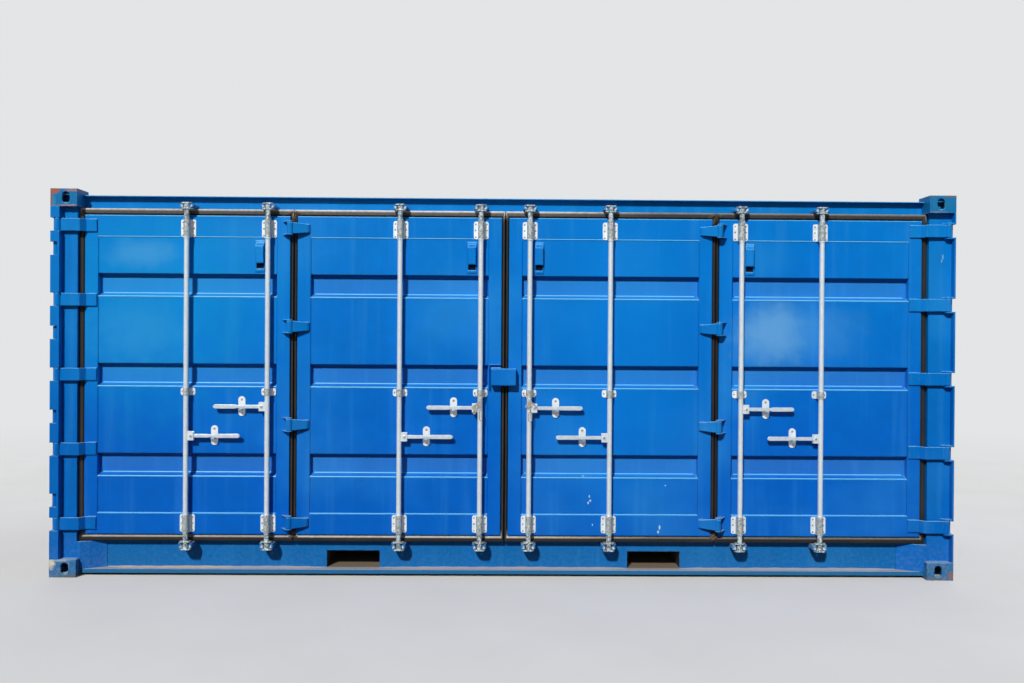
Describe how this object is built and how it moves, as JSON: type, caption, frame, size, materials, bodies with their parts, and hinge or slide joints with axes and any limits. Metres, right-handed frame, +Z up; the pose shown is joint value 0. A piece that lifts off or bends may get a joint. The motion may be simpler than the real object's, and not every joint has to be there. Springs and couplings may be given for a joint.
{
  "type": "open-side freight container",
  "caption": "Steel freight box with two pairs of folding doors along one side, eight lock rods with handles, end doors, a built floor, fork pockets and corner castings.",
  "frame": {"origin": "middle of the footprint, on the ground", "axes": "+X to the right along the door side, -Y towards a person facing the side doors, +Z up"},
  "size_m": [6.058, 2.438, 2.591],
  "materials": {
    "blue_paint": "satin",
    "galvanised_steel": "satin",
    "gasket_rubber": "matte",
    "plywood": "matte"
  },
  "bodies": {
    "root": {"top_castings": "blue_paint", "bottom_castings": "blue_paint", "left_door_post": "blue_paint", "right_door_post": "blue_paint", "back_posts": "blue_paint", "front_sill": "blue_paint", "sill_gussets": "blue_paint", "front_header": "blue_paint", "back_bottom_rail": "blue_paint", "back_top_rail": "blue_paint", "end_wall_rails": "blue_paint", "end_door_sill": "blue_paint", "end_door_header": "blue_paint", "cross_members": "blue_paint", "fork_pockets": "blue_paint", "floor_panels": "plywood", "roof": "blue_paint", "back_wall": "blue_paint", "end_wall": "blue_paint", "end_door_leaves": "blue_paint", "end_door_hinges": "blue_paint", "end_door_gaskets": "gasket_rubber", "end_door_lock_gear": "galvanised_steel", "cam_keepers": "blue_paint", "side_door_leaves": "blue_paint", "side_door_hinges": "blue_paint", "side_door_gaskets": "gasket_rubber", "side_door_guides": "galvanised_steel", "lock_box": "blue_paint"},
    "rod_1": {"lock_rod_1": "galvanised_steel"},
    "lever_1": {"handle_1": "galvanised_steel"},
    "rod_2": {"lock_rod_2": "galvanised_steel"},
    "lever_2": {"handle_2": "galvanised_steel"},
    "rod_3": {"lock_rod_3": "galvanised_steel"},
    "lever_3": {"handle_3": "galvanised_steel"},
    "rod_4": {"lock_rod_4": "galvanised_steel"},
    "lever_4": {"handle_4": "galvanised_steel"},
    "rod_5": {"lock_rod_5": "galvanised_steel"},
    "lever_5": {"handle_5": "galvanised_steel"},
    "rod_6": {"lock_rod_6": "galvanised_steel"},
    "lever_6": {"handle_6": "galvanised_steel"},
    "rod_7": {"lock_rod_7": "galvanised_steel"},
    "lever_7": {"handle_7": "galvanised_steel"},
    "rod_8": {"lock_rod_8": "galvanised_steel"},
    "lever_8": {"handle_8": "galvanised_steel"}
  },
  "joints": [
    {"name": "rod_1_turn", "type": "hinge", "parent": "root", "child": "rod_1", "pos_m": [-2.133, -1.196, 1.352], "axis": [0, 0, -1], "range_deg": [0, 110]},
    {"name": "handle_1_lift", "type": "hinge", "parent": "rod_1", "child": "lever_1", "pos_m": [-2.097, -1.196, 0.947], "axis": [0, -1, 0], "range_deg": [0, 30]},
    {"name": "rod_2_turn", "type": "hinge", "parent": "root", "child": "rod_2", "pos_m": [-1.591, -1.196, 1.352], "axis": [0, 0, 1], "range_deg": [0, 110]},
    {"name": "handle_2_lift", "type": "hinge", "parent": "rod_2", "child": "lever_2", "pos_m": [-1.627, -1.196, 1.144], "axis": [0, 1, 0], "range_deg": [0, 30]},
    {"name": "rod_3_turn", "type": "hinge", "parent": "root", "child": "rod_3", "pos_m": [-0.707, -1.196, 1.352], "axis": [0, 0, -1], "range_deg": [0, 110]},
    {"name": "handle_3_lift", "type": "hinge", "parent": "rod_3", "child": "lever_3", "pos_m": [-0.671, -1.196, 0.947], "axis": [0, -1, 0], "range_deg": [0, 30]},
    {"name": "rod_4_turn", "type": "hinge", "parent": "root", "child": "rod_4", "pos_m": [-0.165, -1.196, 1.352], "axis": [0, 0, 1], "range_deg": [0, 110]},
    {"name": "handle_4_lift", "type": "hinge", "parent": "rod_4", "child": "lever_4", "pos_m": [-0.201, -1.196, 1.144], "axis": [0, 1, 0], "range_deg": [0, 30]},
    {"name": "rod_5_turn", "type": "hinge", "parent": "root", "child": "rod_5", "pos_m": [0.165, -1.196, 1.352], "axis": [0, 0, -1], "range_deg": [0, 110]},
    {"name": "handle_5_lift", "type": "hinge", "parent": "rod_5", "child": "lever_5", "pos_m": [0.201, -1.196, 1.144], "axis": [0, -1, 0], "range_deg": [0, 30]},
    {"name": "rod_6_turn", "type": "hinge", "parent": "root", "child": "rod_6", "pos_m": [0.707, -1.196, 1.352], "axis": [0, 0, 1], "range_deg": [0, 110]},
    {"name": "handle_6_lift", "type": "hinge", "parent": "rod_6", "child": "lever_6", "pos_m": [0.671, -1.196, 0.947], "axis": [0, 1, 0], "range_deg": [0, 30]},
    {"name": "rod_7_turn", "type": "hinge", "parent": "root", "child": "rod_7", "pos_m": [1.591, -1.196, 1.352], "axis": [0, 0, -1], "range_deg": [0, 110]},
    {"name": "handle_7_lift", "type": "hinge", "parent": "rod_7", "child": "lever_7", "pos_m": [1.627, -1.196, 1.144], "axis": [0, -1, 0], "range_deg": [0, 30]},
    {"name": "rod_8_turn", "type": "hinge", "parent": "root", "child": "rod_8", "pos_m": [2.133, -1.196, 1.352], "axis": [0, 0, 1], "range_deg": [0, 110]},
    {"name": "handle_8_lift", "type": "hinge", "parent": "rod_8", "child": "lever_8", "pos_m": [2.097, -1.196, 0.947], "axis": [0, 1, 0], "range_deg": [0, 30]}
  ]
}
